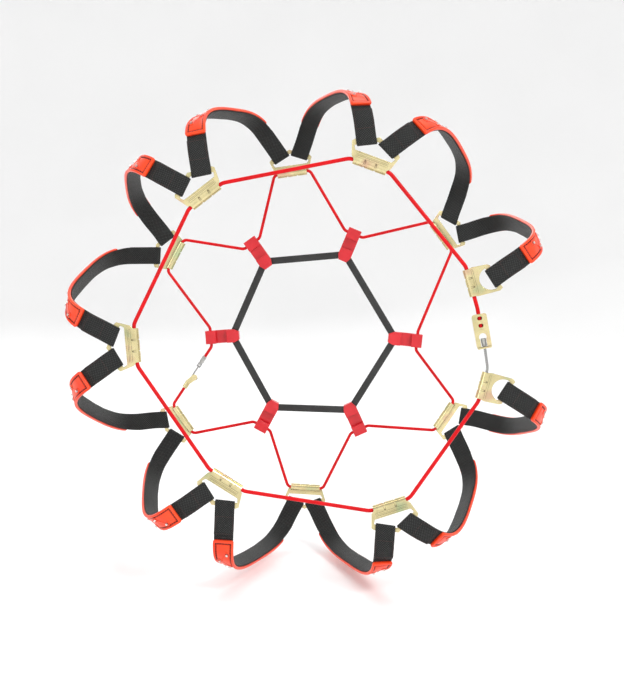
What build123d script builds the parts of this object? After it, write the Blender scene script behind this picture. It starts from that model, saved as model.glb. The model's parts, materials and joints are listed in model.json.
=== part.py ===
"""Textile tire snow chain, shown in its fitted shape, in millimetres.

The origin is the centre of the wheel and Y is the wheel's axis. The inner side, which
faces the vehicle, is at -Y and the street side is at +Y, with Z up.
"""
from build123d import *
from math import asin, atan2, copysign, cos, degrees, hypot, pi, radians, sin, tan
import os

os.makedirs("parts", exist_ok=True)

# ---------------------------------------------------------------- driving dimensions
# The net is drawn for a 205/55 R16 tire: 632 outside diameter and 214 overall width.
crown_radius = 318.2         # middle of the webbing where it crosses the tread
bulge_radius = 258.0         # where the sidewall is widest
bulge_half_width = 110.5     # middle of the webbing at the bulge
profile_power = 3.3          # how square the shoulder is

cable_offset = 102.5         # distance of both side cables from the mid-plane
inner_cable_diameter = 5.0
outer_cable_diameter = 4.4
core_share = 0.64            # wire rope diameter over jacket diameter
sleeve_clearance = 0.06
crimp_depth = 0.55
core_clearance = 0.05

sheet_thickness = 2.0        # zinc-plated steel of the link plates
sleeve_outer_radius = 4.2
double_sleeve_length = 43.0
single_sleeve_length = 34.0
sheet_lift = 3.1             # sheet's middle above the cable's axis
sheet_tilt = 10.0            # the plates follow the sidewall
plate_corner = 1.1
plate_edge = 0.55

webbing_width = 25.0
webbing_thickness = 1.9
loop_wall = 1.6
loop_block = 9.4             # bar's middle to the end of the loop's stitched block
loop_slack = 1.8
bar_width = 5.6
bare_webbing = 46.0          # visible webbing between the inner bar and the pad
pad_length = 226.0
pad_width = 26.5
pad_thickness = 4.0
pad_gap = 0.15
stud_radius = 1.6
stud_height = 1.5            # above the pad
stud_depth = 1.2             # pressed into the pad
studs_per_pad = 15
stud_pitch = 13.5
stud_row_offset = 5.5

hook_width = 19.5
hook_inner_reach = 42.6      # cable axis to the hook's inner end
hook_outer_reach = 7.2       # cable axis to the hook's outer end
outer_lip_end = -8.3         # both lips end here, measured from the cable's axis
inner_lip_end = -24.1
hook_pocket_half = 2.6
hook_edge = 0.7
band_width = 10.0
band_thickness = 4.0
band_reach = 34.3            # cable axis to the middle of the rubber band

# Stations round the wheel: angle, distance of the sleeve from the axis, sleeve turn.
# The angle is from +X towards +Z.
inner_double_stations = [
    (-63.5, 232.0, -8.0),
    (-120.3, 206.0, -1.9),
    (-178.6, 218.6, 2.8),
    (125.2, 222.0, 2.0),
    (70.7, 231.2, -0.8),
]
upper_single_station = (20.1, 214.5, -3.9)
lower_single_station = (-14.0, 225.5, -1.0)
outer_double_stations = [
    (36.4, 232.0, 0.0),
    (97.8, 232.0, 0.0),
    (151.7, 232.0, 0.0),
    (214.5, 238.0, 0.0),
    (267.0, 238.0, 0.0),
    (326.7, 232.0, 0.0),
]
# Tension hooks: angle and distance of the cable inside the hook from the axis.
hook_stations = [
    (-5.9, 153.3),
    (67.4, 152.6),
    (125.6, 156.2),
    (184.3, 153.4),
    (241.8, 164.0),
    (294.6, 163.6),
]

# ---------------------------------------------------------------- small helpers


def radial(angle):
    """Unit vector that points away from the wheel's axis at this angle."""
    return Vector(cos(radians(angle)), 0, sin(radians(angle)))


def around(angle):
    """Unit vector along the circle, towards growing angles."""
    return Vector(-sin(radians(angle)), 0, cos(radians(angle)))


def side_plane(angle, radius, turn, side):
    """Plane on a side cable: y points away from the axis and z away from the tire."""
    origin = radial(angle) * radius + Vector(0, side * cable_offset, 0)
    return Plane(origin=origin, x_dir=around(angle + turn) * side, z_dir=(0, side, 0))


def sheet_plane(station, side):
    """Plane in the middle of a link plate's sheet, tilted along the sidewall."""
    flat = side_plane(*station, side)
    return Plane(flat.from_local_coords(Vector(0, 0, sheet_lift)), x_dir=flat.x_dir,
                 z_dir=flat.z_dir.rotate(Axis((0, 0, 0), flat.x_dir), sheet_tilt))


def write(part, name):
    """Label one finished sub-part and write its STEP file."""
    part.label = name
    export_step(part, f"parts/{name}.step")


# ---------------------------------------------------------------- link plates

# Middle of each webbing bar in the sheet's own axes, and the bar's slope.
roof_rise = 25.6
double_bar_middle = (14.2, 25.6)
single_bar_slope = 16.7
single_bar_middle = (0.6, 28.4)


def sleeve(plane, length, jacket_radius):
    """Crimped tube that the side cable runs through, with its lap and crimp notches."""
    bore = jacket_radius + sleeve_clearance
    with BuildSketch(Plane(plane.origin, x_dir=plane.y_dir, z_dir=plane.x_dir)) as tube:
        Circle(sleeve_outer_radius)
        Circle(bore, mode=Mode.SUBTRACT)
    extrude(tube.sketch, amount=length / 2, both=True)
    lap = Plane(plane.from_local_coords(Vector(0, -sleeve_outer_radius, 0)),
                x_dir=plane.x_dir, z_dir=plane.z_dir)
    with BuildSketch(lap) as strip:
        Rectangle(length, 2.4)
        with Locations((-length / 6, -1.2), (length / 6, -1.2)):
            Rectangle(1.8, 1.6, mode=Mode.SUBTRACT)
    extrude(strip.sketch, amount=0.8, both=True)
    marks = Plane(plane.from_local_coords(Vector(0, 0, sleeve_outer_radius - crimp_depth)),
                  x_dir=plane.x_dir, z_dir=plane.z_dir)
    with BuildSketch(marks) as crimps:
        with Locations((-length / 6, 0), (length / 6, 0)):
            RectangleRounded(2.6, 7.0, 1.2)
    extrude(crimps.sketch, amount=2, mode=Mode.SUBTRACT)


def cut_bore(plane, length, jacket_radius):
    """Clear the cable's path through everything that was added to the sleeve."""
    with BuildSketch(Plane(plane.origin, x_dir=plane.y_dir, z_dir=plane.x_dir)) as bore:
        Circle(jacket_radius + sleeve_clearance)
    extrude(bore.sketch, amount=length, both=True, mode=Mode.SUBTRACT)


def round_sheet(plate, sheet, corner, edge):
    """Round a flat plate's corners and then its upper and lower edges."""
    upright = Axis(sheet.origin, sheet.z_dir)
    fillet(plate.edges().filter_by(upright), corner)
    fillet(plate.edges() - plate.edges().filter_by(upright), edge)


def double_plate(station, side, jacket_radius, name):
    """House-shaped plate with two slanted bars, one for each webbing strap."""
    plane = side_plane(*station, side)
    with BuildPart() as plate:
        with BuildSketch(sheet_plane(station, side)):
            with BuildLine():
                Polyline((-21.5, 0), (21.5, 0), (25.5, 3.5), (31.2, 20.5), (28.2, 24.2),
                         (26.0, 23.0), (0, 35.4), (-26.0, 23.0), (-28.2, 24.2),
                         (-31.2, 20.5), (-25.5, 3.5), (-21.5, 0))
            make_face()
            with BuildLine():
                Polyline((-23.6, 11.6), (23.6, 11.6), (26.6, 16.4), (0, 29.4),
                         (-26.6, 16.4), (-23.6, 11.6))
            make_face(mode=Mode.SUBTRACT)
        extrude(amount=sheet_thickness / 2, both=True)
        round_sheet(plate, sheet_plane(station, side), plate_corner, plate_edge)
        sleeve(plane, double_sleeve_length, jacket_radius)
        with BuildSketch(sheet_plane(station, side).offset(sheet_thickness / 2)):
            with Locations((0, 5.4), (0, 9.2)):
                SlotOverall(41, 1.5)
        extrude(amount=0.6)
        cut_bore(plane, double_sleeve_length, jacket_radius)
    write(plate.part, name)


def single_plate(station, side, jacket_radius, mirrored, name):
    """Crescent-shaped plate beside the closure, with one bar between two horns."""
    plane = side_plane(*station, side)
    flip = -1 if mirrored else 1
    outline = [(-17, 0), (17, 0), (18.4, 6), (18.6, 32.5), (15.6, 36.4), (12.0, 34.6),
               (-11.5, 27.6), (-14.6, 28.6), (-16.8, 25.0), (-18.4, 6)]
    with BuildPart() as plate:
        with BuildSketch(sheet_plane(station, side)):
            with BuildLine():
                Polyline(*[(flip * x, y) for x, y in outline], close=True)
            make_face()
            with BuildLine():
                Line((flip * 14.4, 29.6), (flip * -12.6, 21.6))
                ThreePointArc((flip * -12.6, 21.6), (flip * -2.0, 11.4), (flip * 14.4, 29.6))
            make_face(mode=Mode.SUBTRACT)
        extrude(amount=sheet_thickness / 2, both=True)
        round_sheet(plate, sheet_plane(station, side), plate_corner, plate_edge)
        sleeve(plane, single_sleeve_length, jacket_radius)
        with BuildSketch(sheet_plane(station, side).offset(sheet_thickness / 2)):
            with Locations((0, 5.4)):
                SlotOverall(31, 1.5)
        extrude(amount=0.6)
        cut_bore(plane, single_sleeve_length, jacket_radius)
    write(plate.part, name)


inner_jacket_radius = inner_cable_diameter / 2
outer_jacket_radius = outer_cable_diameter / 2

for number, station in enumerate(inner_double_stations, 1):
    double_plate(station, -1, inner_jacket_radius, f"inner_double_plate_{number}")
single_plate(upper_single_station, -1, inner_jacket_radius, False, "inner_single_plate_1")
single_plate(lower_single_station, -1, inner_jacket_radius, True, "inner_single_plate_2")
for number, station in enumerate(outer_double_stations, 1):
    double_plate(station, 1, outer_jacket_radius, f"outer_double_plate_{number}")

# ---------------------------------------------------------------- webbing straps


def bar_plane(station, side, middle, slope):
    """Plane on a webbing bar: x along the bar, y away from the cable, z off the sheet."""
    sheet = sheet_plane(station, side)
    origin = sheet.from_local_coords(Vector(*middle))
    x_dir = sheet.x_dir * cos(radians(slope)) + sheet.y_dir * sin(radians(slope))
    return Plane(origin, x_dir=x_dir, z_dir=sheet.z_dir)


def double_bar(station, side, growing):
    """Bar of a double plate on the side of growing or falling angles."""
    hand = side if growing else -side
    middle = (hand * double_bar_middle[0], double_bar_middle[1])
    return bar_plane(station, side, middle, -hand * roof_rise)


def profile(swing):
    """Point (radius, y) of the webbing's path over the tire, -90 inner to 90 outer."""
    share_y = abs(sin(radians(swing))) ** (2 / profile_power)
    share_r = abs(cos(radians(swing))) ** (2 / profile_power)
    radius = bulge_radius + (crown_radius - bulge_radius) * share_r
    return radius, copysign(bulge_half_width * share_y, swing)


def strap_path(inner_bar, outer_bar):
    """Centre line over the tire between two bars, as the shortest way round it."""
    stops = []
    for bar in (inner_bar, outer_bar):
        middle = bar.origin
        stops.append((hypot(middle.X, middle.Z), middle.Y, degrees(atan2(middle.Z, middle.X))))
    rise = [stops[0][:2]]
    rise += [profile(-90 + 180 * step / 72) for step in range(2, 71)]
    rise += [stops[1][:2]]
    turn = (stops[1][2] - stops[0][2] + 180) % 360 - 180
    low, high = 0.0, 228.0
    for _ in range(50):
        pull = (low + high) / 2
        angles = [0.0]
        for (r0, y0), (r1, y1) in zip(rise, rise[1:]):
            mean = max((r0 + r1) / 2, pull + 0.5)
            angles.append(angles[-1] + hypot(r1 - r0, y1 - y0) * tan(asin(pull / mean)) / mean)
        if degrees(angles[-1]) < abs(turn):
            low = pull
        else:
            high = pull
    points = []
    for (radius, y), angle in zip(rise, angles):
        heading = stops[0][2] + copysign(degrees(angle), turn)
        points.append(radial(heading) * radius + Vector(0, y, 0))
    return points


def outward(point, ahead):
    """Surface normal at a point of the path, square to the way ahead."""
    spin = degrees(atan2(point.Z, point.X))
    radius = hypot(point.X, point.Z)
    share_r = max((radius - bulge_radius) / (crown_radius - bulge_radius), 0.0)
    share_y = min(abs(point.Y) / bulge_half_width, 1.0)
    steep = share_r ** (profile_power - 1) / (crown_radius - bulge_radius)
    flat = copysign(share_y ** (profile_power - 1) / bulge_half_width, point.Y)
    normal = radial(spin) * steep + Vector(0, flat, 0)
    normal = normal - ahead * normal.dot(ahead)
    return normal.normalized()


def walk(points, inner_bar, outer_bar):
    """Frames along the path: distance, point, direction, side vector and normal."""
    lengths = [0.0]
    for a, b in zip(points, points[1:]):
        lengths.append(lengths[-1] + (b - a).length)
    total = lengths[-1]
    frames = []
    for index, point in enumerate(points):
        before = points[max(index - 1, 0)]
        after = points[min(index + 1, len(points) - 1)]
        ahead = (after - before).normalized()
        normal = outward(point, ahead)
        for bar, away in ((inner_bar, lengths[index]), (outer_bar, total - lengths[index])):
            share = max(1 - away / 26.0, 0.0)
            normal = normal * (1 - share) + bar.z_dir * share
        across = ahead.cross(normal).normalized()
        for bar, away in ((inner_bar, lengths[index]), (outer_bar, total - lengths[index])):
            share = max(1 - away / 26.0, 0.0)
            along = bar.x_dir if bar.x_dir.dot(across) > 0 else bar.x_dir * -1
            across = (across * (1 - share) + along * share).normalized()
        frames.append((lengths[index], point, ahead, across))
    return frames


def frame_at(frames, distance):
    """Frame at any distance, between the two nearest ones."""
    for low, high in zip(frames, frames[1:]):
        if high[0] >= distance:
            break
    share = (distance - low[0]) / (high[0] - low[0])
    return [a * (1 - share) + b * share for a, b in zip(low[1:], high[1:])]


def section_plane(frames, distance, lift):
    """Cross-section plane: x across the webbing and y away from the tire."""
    point, ahead, across = frame_at(frames, distance)
    ahead = (ahead - across * ahead.dot(across)).normalized()
    normal = across.cross(ahead)
    return Plane(point + normal * lift, x_dir=across, z_dir=ahead * -1)


def band_solid(frames, stops, width, thickness, lift):
    """Loft a flat band through cross-sections at the given distances."""
    sections = []
    for distance, thick in stops:
        with BuildSketch(section_plane(frames, distance, lift)) as section:
            Rectangle(width, thick if thick else thickness)
        sections.append(section.sketch)
    loft(sections, ruled=True)


def webbing_loop(bar):
    """Closed end loop of the webbing round a plate's bar."""
    reach = bar_width / 2 + 0.3
    gap = sheet_thickness / 2 + 0.2
    across = Plane(bar.origin, x_dir=bar.y_dir, z_dir=bar.x_dir)
    with BuildSketch(across) as ring:
        with Locations(((loop_block - reach - loop_wall) / 2, 0)):
            RectangleRounded(loop_block + reach + loop_wall, 2 * (gap + loop_wall), 1.5)
        with Locations((loop_slack / 2, 0)):
            Rectangle(2 * reach + loop_slack, 2 * gap, mode=Mode.SUBTRACT)
    extrude(ring.sketch, amount=webbing_width / 2, both=True)


# Inner bar, outer plate and whether the strap meets that plate on its growing side.
strap_ends = [
    (double_bar(inner_double_stations[4], -1, True), 1, False),
    (double_bar(inner_double_stations[4], -1, False), 0, True),
    (bar_plane(upper_single_station, -1, single_bar_middle, single_bar_slope), 0, False),
    (bar_plane(lower_single_station, -1, (-single_bar_middle[0], single_bar_middle[1]),
               -single_bar_slope), 5, True),
    (double_bar(inner_double_stations[0], -1, True), 5, False),
    (double_bar(inner_double_stations[0], -1, False), 4, True),
    (double_bar(inner_double_stations[1], -1, True), 4, False),
    (double_bar(inner_double_stations[1], -1, False), 3, True),
    (double_bar(inner_double_stations[2], -1, True), 3, False),
    (double_bar(inner_double_stations[2], -1, False), 2, True),
    (double_bar(inner_double_stations[3], -1, True), 2, False),
    (double_bar(inner_double_stations[3], -1, False), 1, True),
]

loop_end = 6.5               # where the loop's stitched block meets the strap
doubled_end = 30.0           # the webbing is folded back on itself up to here
doubled_thickness = 3.5
step_length = 13.0


def evenly(start, end):
    """Distances from start to end, about one step apart."""
    count = max(round((end - start) / step_length), 1)
    return [start + (end - start) * index / count for index in range(count + 1)]


strap_frames = []
for number, (inner_bar, outer_index, growing) in enumerate(strap_ends, 1):
    outer_bar = double_bar(outer_double_stations[outer_index], 1, growing)
    frames = walk(strap_path(inner_bar, outer_bar), inner_bar, outer_bar)
    strap_frames.append(frames)
    total = frames[-1][0]
    stops = [(place, doubled_thickness) for place in evenly(loop_end, doubled_end)]
    stops += [(doubled_end + 2, None)]
    stops += [(place, None) for place in evenly(bare_webbing, bare_webbing + pad_length)]
    stops += [(total - doubled_end - 2, None)]
    stops += [(place, doubled_thickness) for place in evenly(total - doubled_end, total - loop_end)]
    with BuildPart() as strap:
        band_solid(frames, stops, webbing_width, webbing_thickness, 0)
        webbing_loop(inner_bar)
        webbing_loop(outer_bar)
    write(strap.part, f"webbing_strap_{number:02d}")
    print(f"strap {number}: {total:.1f} mm between its bars")

# ---------------------------------------------------------------- tread pads and studs

pad_lift = webbing_thickness / 2 + pad_gap + pad_thickness / 2
pad_top = pad_lift + pad_thickness / 2


def stud_planes(frames):
    """Planes of one pad's studs, at the bottom of their pockets, in two staggered rows."""
    planes = []
    for index in range(studs_per_pad):
        along = bare_webbing + pad_length / 2 + (index - (studs_per_pad - 1) / 2) * stud_pitch
        cross = section_plane(frames, along, pad_top - stud_depth)
        row = stud_row_offset if index % 2 else -stud_row_offset
        spot = cross.from_local_coords(Vector(row, 0, 0))
        planes.append(Plane(spot, x_dir=cross.x_dir, z_dir=cross.y_dir))
    return planes


for number, frames in enumerate(strap_frames, 1):
    stops = [(place, None) for place in evenly(bare_webbing, bare_webbing + pad_length)]
    with BuildPart() as pad:
        band_solid(frames, stops, pad_width, pad_thickness, pad_lift)
        with BuildSketch(*stud_planes(frames)):
            Circle(stud_radius)
        extrude(amount=2 * stud_depth, mode=Mode.SUBTRACT)
    write(pad.part, f"tread_pad_{number:02d}")

with BuildPart() as studs:
    for frames in strap_frames:
        with BuildSketch(*stud_planes(frames)):
            Circle(stud_radius)
        extrude(amount=stud_depth + stud_height)
write(studs.part, "tread_studs")

# ---------------------------------------------------------------- side cables


def cable(points, radii, radius, bore, name):
    """Round cable along straight runs joined by arcs, with an optional bore."""
    with BuildPart() as rope:
        with BuildLine() as route:
            FilletPolyline(*points, radius=radii)
        path = route.wire()
        with BuildSketch(Plane(path @ 0, z_dir=path % 0)):
            Circle(radius)
            if bore:
                Circle(bore, mode=Mode.SUBTRACT)
        sweep(path=path)
    ideal = pi * (radius ** 2 - bore ** 2) * path.length
    print(f"{name}: {path.length:.1f} mm long, volume {rope.part.volume / ideal:.4f} of ideal")
    write(rope.part, name)


def on_cable(angle, radius, turn, side, shift):
    """Point on a side cable's straight stretch, shift mm towards growing angles."""
    middle = radial(angle) * radius + Vector(0, side * cable_offset, 0)
    return middle + around(angle + turn) * shift


sleeve_bend = 18.0
outer_sleeve_bend = 7.5
bend_start = double_sleeve_length / 2 + 4.6
single_bend_start = single_sleeve_length / 2 + 4.0

inner_points = [on_cable(*lower_single_station, -1, -2.0)]
inner_points.append(on_cable(*lower_single_station, -1, -single_bend_start))
for station in inner_double_stations:
    inner_points.append(on_cable(*station, -1, bend_start))
    inner_points.append(on_cable(*station, -1, -bend_start))
inner_points.append(on_cable(*upper_single_station, -1, single_bend_start))
inner_points.append(on_cable(*upper_single_station, -1, 6.0))
inner_radii = [sleeve_bend] * (len(inner_points) - 2)
inner_core = inner_jacket_radius * core_share

cable(inner_points, inner_radii, inner_jacket_radius, inner_core + core_clearance,
      "inner_cable_jacket")
cable(inner_points, inner_radii, inner_core, 0, "inner_cable_core")

# The outer cable zigzags between its plates and the tension hooks, and is open between
# the fourth hook and the fourth plate, where it is hooked together.
hook_bend = 9.0
hook_corner = hook_width / 2 + 4.2
closure_end = 24.0           # cable past the fourth hook's corner, up to its ferrule
catch_start = 65.0           # the other cable end, measured from the same corner


plate_corners = {}
for index, station in enumerate(outer_double_stations):
    plate_corners[index] = (on_cable(*station, 1, -bend_start), on_cable(*station, 1, bend_start))
hook_corners = {}
for index, (angle, radius) in enumerate(hook_stations):
    hook_corners[index] = (on_cable(angle, radius, 0, 1, -hook_corner),
                           on_cable(angle, radius, 0, 1, hook_corner))

closing_hook_corner = hook_corners[3][1]
closing_plate_corner = plate_corners[3][0]
closing_line = (closing_plate_corner - closing_hook_corner).normalized()
closing_side = Vector(0, 1, 0).cross(closing_line)
cable_start = closing_hook_corner + closing_line * closure_end
cable_finish = closing_hook_corner + closing_line * catch_start

outer_points = [cable_start]
outer_radii = []
for hook_index, plate_index in ((3, 2), (2, 1), (1, 0), (0, 5), (5, 4), (4, 3)):
    outer_points += [hook_corners[hook_index][1], hook_corners[hook_index][0]]
    outer_points += [plate_corners[plate_index][1], plate_corners[plate_index][0]]
    outer_radii += [hook_bend, hook_bend, outer_sleeve_bend, outer_sleeve_bend]
outer_points.append(cable_finish)
outer_core = outer_jacket_radius * core_share

cable(outer_points, outer_radii, outer_jacket_radius, outer_core + core_clearance,
      "outer_cable_jacket")
cable(outer_points, outer_radii, outer_core, 0, "outer_cable_core")

# ---------------------------------------------------------------- outer closure

ferrule_radius = 3.2
ferrule_length = 10.4
ferrule_grip = 6.0           # length of cable held in the ferrule
wire_radius = 1.1
wire_length = 22.0           # pivot to the start of the hook's bend
wire_bend_radius = 4.0       # middle of the wire, round the catch post
pivot_gap = 2.4              # the ferrule's end face to the pivot
tongue_half = 1.3
tongue_reach = 2.2
pin_radius = 1.0
yoke_half = 2.9
post_radius = 2.2
catch_top = -1.6             # the catch plate's top, below the wire's middle
catch_thickness = 2.0
catch_barrel_radius = 3.7
catch_barrel_length = 11.0


def closure_plane(distance):
    """Plane across the closing line, at a distance from the fourth hook's corner."""
    return Plane(closing_hook_corner + closing_line * distance,
                 x_dir=closing_side, z_dir=closing_line)


ferrule_start = closure_end - ferrule_grip
pivot_distance = ferrule_start + ferrule_length + pivot_gap
pivot = closing_hook_corner + closing_line * pivot_distance
pivot_plane = Plane(pivot, x_dir=closing_line, z_dir=(0, 1, 0))
wire_plane = Plane(pivot + closing_line * wire_length, x_dir=closing_line, z_dir=(0, 1, 0))

with BuildPart() as end_ferrule:
    with BuildSketch(closure_plane(ferrule_start)):
        RegularPolygon(ferrule_radius, 6)
    extrude(amount=ferrule_length)
    with BuildSketch(closure_plane(ferrule_start)):
        Circle(outer_jacket_radius + sleeve_clearance)
    extrude(amount=ferrule_grip + 0.1, mode=Mode.SUBTRACT)
    with BuildSketch(closure_plane(ferrule_start + ferrule_length)):
        Rectangle(2 * tongue_half, 4.4)
    extrude(amount=pivot_gap + tongue_reach)
    with BuildSketch(Plane(pivot, x_dir=closing_line, z_dir=closing_side)):
        Circle(pin_radius + 0.07)
    extrude(amount=2 * tongue_half, both=True, mode=Mode.SUBTRACT)
write(end_ferrule.part, "outer_end_ferrule")

with BuildPart() as wire_hook:
    with BuildSketch(Plane(pivot, x_dir=closing_line, z_dir=closing_side)):
        Circle(pin_radius)
    extrude(amount=yoke_half, both=True)
    with BuildSketch(pivot_plane):
        with Locations((2.2, yoke_half - 0.65), (2.2, 0.65 - yoke_half)):
            Rectangle(7.2, 1.3)
        with Locations((4.7, 0)):
            Rectangle(2.2, 2 * yoke_half)
    extrude(amount=1.4, both=True)
    with BuildLine(wire_plane) as bend:
        Line((4.0 - wire_length, 0), (0, 0))
        CenterArc((0, -wire_bend_radius), wire_bend_radius, 90, -205)
    with BuildSketch(closure_plane(pivot_distance + 4.0)):
        Circle(wire_radius)
    sweep(path=bend.wire())
write(wire_hook.part, "outer_wire_hook")

with BuildPart() as catch:
    with BuildSketch(closure_plane(catch_start - 2.0)):
        Circle(catch_barrel_radius)
    extrude(amount=catch_barrel_length)
    with BuildSketch(wire_plane.offset(catch_top)):
        with Locations((0, -wire_bend_radius)):
            Circle(4.4)
        with BuildLine():
            Polyline((0, 0.4), (12, 3.7), (12, -3.7), (0, -8.4), close=True)
        make_face()
    extrude(amount=-catch_thickness)
    with BuildSketch(wire_plane.offset(catch_top)):
        with Locations((0, -wire_bend_radius)):
            Circle(post_radius)
    extrude(amount=3.5)
    with BuildSketch(closure_plane(catch_start)):
        Circle(outer_jacket_radius + sleeve_clearance)
    extrude(amount=catch_barrel_length, mode=Mode.SUBTRACT)
write(catch.part, "outer_catch_plate")

# ---------------------------------------------------------------- inner closure

lock_heading = -79.2         # direction of the lock plate, from +X towards +Z
lock_width = 18.5
lock_length = 43.6
lock_sheet = 1.6
lock_lift = 2.0              # underside of the lock's face above the cable's axis
lock_wall_depth = 4.6
stub_inner_shift = -5.0      # the stub's hidden end inside the upper single plate
stub_bend_shift = 33.0
stub_lead = 7.0              # stub between its bend and the lock plate
barrel_length = 18.4
barrel_radius = 4.3
window_width = 6.2
window_height = 4.8
keyhole_place = 29.0
keyhole_radius = 4.8
slot_width = 7.6
slot_end = 41.2
lock_ferrule_length = 10.0
lock_ferrule_shift = 0.4
tail_radius = 1.7

upper_angle, upper_radius, upper_turn = upper_single_station
lock_way = Vector(cos(radians(lock_heading)), 0, sin(radians(lock_heading)))
stub_bend = on_cable(*upper_single_station, -1, -stub_bend_shift)
lock_top = stub_bend + lock_way * stub_lead
# Lock axes: x towards the tail, z away from the tire, y away from the wheel's axis.
lock_plane = Plane(lock_top, x_dir=lock_way, z_dir=(0, -1, 0))
lock_outward = 1 if lock_plane.y_dir.dot(radial(0)) > 0 else -1
lock_face = lock_plane.offset(lock_lift)


def across_lock(distance, shift=0.0):
    """Plane across the lock plate's length, at a distance from its top."""
    spot = lock_plane.from_local_coords(Vector(distance, shift, 0))
    return Plane(spot, x_dir=lock_plane.y_dir, z_dir=lock_way)


with BuildPart() as lock:
    with BuildSketch(lock_face):
        with Locations((lock_length / 2, 0)):
            RectangleRounded(lock_length, lock_width, 3.0)
    extrude(amount=lock_sheet)
    with BuildSketch(lock_plane.offset(lock_lift + lock_sheet)):
        with Locations((lock_length / 2, lock_width / 2 - 0.7), (lock_length / 2, 0.7 - lock_width / 2)):
            Rectangle(lock_length - 7.0, 1.4)
    extrude(amount=-lock_wall_depth)
    with BuildSketch(across_lock(0.6)):
        Circle(barrel_radius)
    extrude(amount=barrel_length)
    with BuildSketch(lock_face):
        with Locations((lock_length - 0.9, 0)):
            RectangleRounded(1.8, lock_width - 1.0, 0.85)
    extrude(amount=3.1)
    with BuildSketch(lock_face):
        with Locations((keyhole_place, 0)):
            Circle(keyhole_radius)
        with Locations(((keyhole_place + slot_end) / 2, 0)):
            Rectangle(slot_end - keyhole_place, slot_width)
    extrude(amount=lock_sheet, mode=Mode.SUBTRACT)
    with BuildSketch(lock_plane):
        with Locations((5.4, 0), (14.6, 0)):
            SlotOverall(window_width, window_height, rotation=90)
    extrude(amount=2 * barrel_radius, mode=Mode.SUBTRACT)
    with BuildSketch(across_lock(0)):
        Circle(inner_jacket_radius + sleeve_clearance)
    extrude(amount=barrel_length - 1.0, mode=Mode.SUBTRACT)
write(lock.part, "inner_lock_plate")

stub_points = [
    on_cable(*upper_single_station, -1, -stub_inner_shift),
    stub_bend,
    lock_plane.from_local_coords(Vector(barrel_length - 1.2, 0, 0)),
]
cable(stub_points, [60.0], inner_jacket_radius, 0, "inner_lock_cable")

ferrule_top = slot_end - 0.2 - lock_ferrule_length
with BuildPart() as tail_ferrule:
    with BuildSketch(across_lock(ferrule_top, lock_outward * lock_ferrule_shift)):
        Circle(ferrule_radius)
    extrude(amount=lock_ferrule_length)
    chamfer(tail_ferrule.edges().filter_by(GeomType.CIRCLE), 0.5)
    with BuildSketch(across_lock(ferrule_top + 1.5, lock_outward * lock_ferrule_shift)):
        Circle(tail_radius + core_clearance)
    extrude(amount=lock_ferrule_length, mode=Mode.SUBTRACT)
write(tail_ferrule.part, "inner_end_ferrule")

tail_points = [
    lock_plane.from_local_coords(Vector(ferrule_top + 1.7, lock_outward * lock_ferrule_shift, 0)),
    lock_plane.from_local_coords(Vector(46.5, lock_outward * lock_ferrule_shift, 0)),
    on_cable(*lower_single_station, -1, single_bend_start + 1.0),
    on_cable(*lower_single_station, -1, -1.8),
]
cable(tail_points, [40.0, 24.0], tail_radius, 0, "inner_tail_wire")

# ---------------------------------------------------------------- tension ring and hooks

ring_bend = 12.0
half_corner = 30.0           # half of the band's turn at each hook
ring_corners = []
for angle, radius in hook_stations:
    corner = radius - band_reach + ring_bend * (1 / cos(radians(half_corner)) - 1)
    ring_corners.append((corner * cos(radians(angle)), corner * sin(radians(angle))))
ring_plane = Plane.XZ.offset(-cable_offset)

with BuildSketch(ring_plane) as ring_middle:
    with BuildLine():
        FilletPolyline(*ring_corners, radius=ring_bend, close=True)
    make_face()

with BuildPart() as ring:
    with BuildSketch(ring_plane):
        offset(ring_middle.sketch, amount=band_width / 2)
        offset(ring_middle.sketch, amount=-band_width / 2, mode=Mode.SUBTRACT)
    extrude(amount=band_thickness / 2, both=True)
    fillet(ring.edges().filter_by(Plane.XZ), 0.8)
write(ring.part, "tension_ring")

hook_height = 6.0            # cable axis to either face of a hook
taper_length = 7.5
taper_width = 3.6
wall_start = -hook_inner_reach + 3.0

for number, (angle, radius) in enumerate(hook_stations, 1):
    plane = side_plane(angle, radius, 0, 1)
    with BuildPart() as hook:
        with BuildSketch(Plane(plane.origin, x_dir=plane.y_dir, z_dir=plane.x_dir)):
            with BuildLine():
                Polyline((0, -hook_pocket_half), (outer_lip_end, -hook_pocket_half),
                         (outer_lip_end, -hook_height), (hook_outer_reach, -hook_height),
                         (hook_outer_reach, hook_height), (-hook_inner_reach, hook_height),
                         (-hook_inner_reach, -hook_height), (inner_lip_end, -hook_height),
                         (inner_lip_end, -hook_pocket_half), (wall_start, -hook_pocket_half),
                         (wall_start, hook_pocket_half), (0, hook_pocket_half))
                ThreePointArc((0, hook_pocket_half), (hook_pocket_half, 0), (0, -hook_pocket_half))
            make_face()
        extrude(amount=hook_width / 2, both=True)
        with BuildSketch(plane.offset(-hook_height)):
            with BuildLine():
                Polyline((-hook_width / 2, hook_outer_reach), (hook_width / 2, hook_outer_reach),
                         (hook_width / 2, taper_length - hook_inner_reach),
                         (hook_width / 2 - taper_width, -hook_inner_reach),
                         (taper_width - hook_width / 2, -hook_inner_reach),
                         (-hook_width / 2, taper_length - hook_inner_reach), close=True)
            make_face()
        extrude(amount=2 * hook_height, mode=Mode.INTERSECT)
        faces = hook.faces().filter_by(Plane.XZ)
        fillet((faces.sort_by(Axis.Y)[-1].edges() + faces.sort_by(Axis.Y)[0].edges()
                + faces.sort_by(Axis.Y)[1].edges()), hook_edge)
        with BuildSketch(ring_plane):
            offset(ring_middle.sketch, amount=band_width / 2 + 0.3)
            offset(ring_middle.sketch, amount=-band_width / 2 - 0.3, mode=Mode.SUBTRACT)
        extrude(amount=hook_pocket_half, both=True, mode=Mode.SUBTRACT)
    write(hook.part, f"tension_hook_{number}")
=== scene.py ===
"""Visual model of the textile tire snow chain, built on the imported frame."""

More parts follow.
